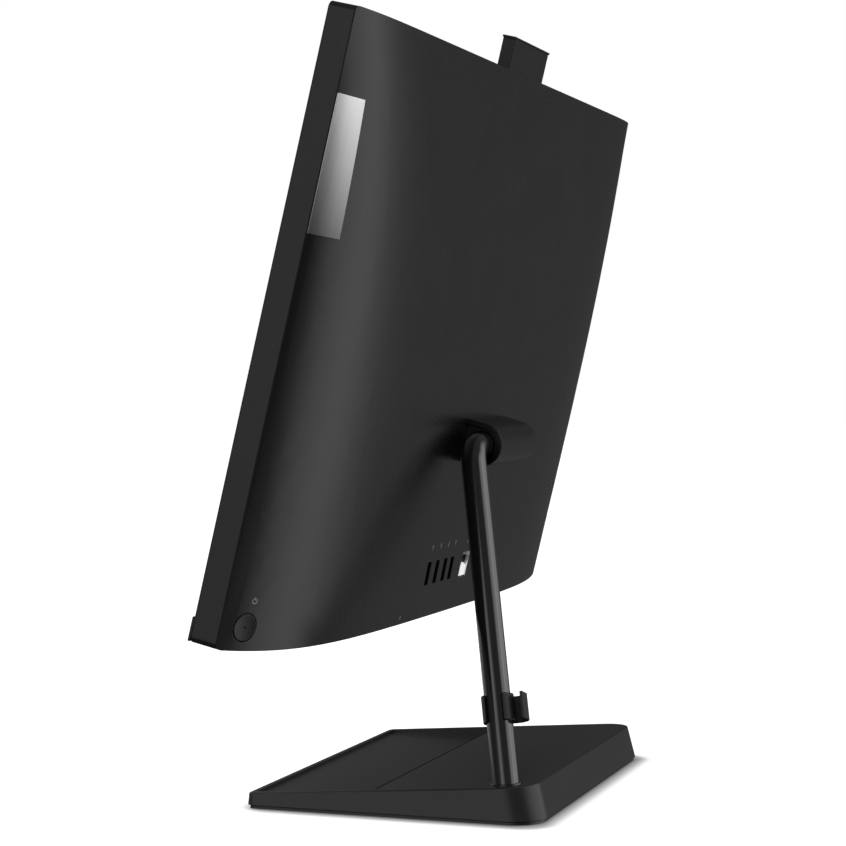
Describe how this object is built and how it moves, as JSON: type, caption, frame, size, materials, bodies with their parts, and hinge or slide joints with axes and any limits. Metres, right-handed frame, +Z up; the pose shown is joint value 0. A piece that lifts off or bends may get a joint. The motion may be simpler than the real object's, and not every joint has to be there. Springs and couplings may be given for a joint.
{
  "type": "all in one pc",
  "caption": "Desktop computer built into the back of a slim tilting display, on a bent-tube stand with a wedge base, pen tray, lead clip and slide-up camera.",
  "frame": {"origin": "On the desk, under the middle of the base", "axes": "+Z up, +X to the right of someone facing the screen, the screen faces -Y"},
  "size_m": [0.541, 0.1692, 0.4364],
  "materials": {
    "casing_plastic": "fine satin texture",
    "button_plastic": "satin",
    "inner_plastic": "moulded",
    "chip_plastic": "moulded",
    "clear_plastic": "polished",
    "plate_metal": "brushed",
    "screen_glass": "anti-glare",
    "lens_glass": "polished",
    "sheet_steel": "zinc plated",
    "dark_steel": "black oxide",
    "shaft_steel": "ground",
    "circuit_board": "solder mask",
    "brass_metal": "turned",
    "connector_metal": "nickel plated",
    "cast_metal": "cast",
    "fin_metal": "stamped",
    "copper_metal": "drawn",
    "tube_paint": "satin black powder coat",
    "foot_rubber": "matt"
  },
  "bodies": {
    "stand": {"stand_tube": "tube_paint", "tube_collar": "casing_plastic", "tube_plug": "brass_metal", "tube_screw": "dark_steel", "hinge_shaft": "shaft_steel", "friction_sleeve": "shaft_steel", "friction_washers": "shaft_steel", "hinge_nut": "dark_steel", "base_shell": "casing_plastic", "base_weight": "sheet_steel", "base_sole": "casing_plastic", "rubber_feet": "foot_rubber", "base_screws": "dark_steel"},
    "display": {"antennas": "circuit_board", "audio_jack": "inner_plastic", "back_cover": "casing_plastic", "backlight_tray": "sheet_steel", "board_pillars": "brass_metal", "button_holder": "inner_plastic", "button_switch": "connector_metal", "camera_guide": "inner_plastic", "card_sockets": "inner_plastic", "clock_cell": "sheet_steel", "drive_cradle": "sheet_steel", "fan_case": "inner_plastic", "fan_lid": "sheet_steel", "hard_drive": "cast_metal", "heat_pipe": "copper_metal", "heat_sink": "fin_metal", "hinge_bracket": "sheet_steel", "hinge_end_plate": "casing_plastic", "hinge_housing": "casing_plastic", "hinge_screws": "dark_steel", "lcd_cell": "screen_glass", "light_guide": "clear_plastic", "mainboard": "circuit_board", "memory_modules": "circuit_board", "name_plate": "plate_metal", "network_jack": "connector_metal", "outlet_fins": "fin_metal", "panel_brackets": "sheet_steel", "power_inlet": "connector_metal", "processor": "chip_plastic", "side_frame": "casing_plastic", "small_screws": "dark_steel", "solid_state_drive": "circuit_board", "speaker_left": "inner_plastic", "speaker_right": "inner_plastic", "speaker_strip": "casing_plastic", "steel_chassis": "sheet_steel", "usb_ports": "connector_metal", "video_port": "connector_metal", "wireless_card": "circuit_board"},
    "camera": {"camera_case": "casing_plastic", "camera_lens": "lens_glass", "camera_board": "circuit_board", "camera_cap": "casing_plastic"},
    "button": {"power_button": "button_plastic"},
    "fan": {"fan_rotor": "inner_plastic"},
    "clip": {"cable_clip": "casing_plastic"}
  },
  "joints": [
    {"name": "display_tilt", "type": "hinge", "parent": "stand", "child": "display", "pos_m": [0, 0.02498, 0.20166], "axis": [-1, 0, 0], "range_deg": [-18.5, 6.5]},
    {"name": "camera_slide", "type": "slide", "parent": "display", "child": "camera", "axis": [0, 0.2334, 0.9724], "range_m": [-0.0176, 0]},
    {"name": "button_press", "type": "slide", "parent": "display", "child": "button", "axis": [0.4373, 0.8734, -0.2145], "range_m": [-0.001, 0], "stiffness_N_per_m": 500, "springref_m": 0.0008},
    {"name": "fan_spin", "type": "hinge", "parent": "display", "child": "fan", "pos_m": [-0.208, -0.02104, 0.16077], "axis": [0, 0.9724, -0.2334], "continuous": true},
    {"name": "clip_turn", "type": "hinge", "parent": "stand", "child": "clip", "pos_m": [0.09199, 0.05415, 0.05891], "axis": [-0.289, -0.1917, 0.9379], "continuous": true}
  ]
}
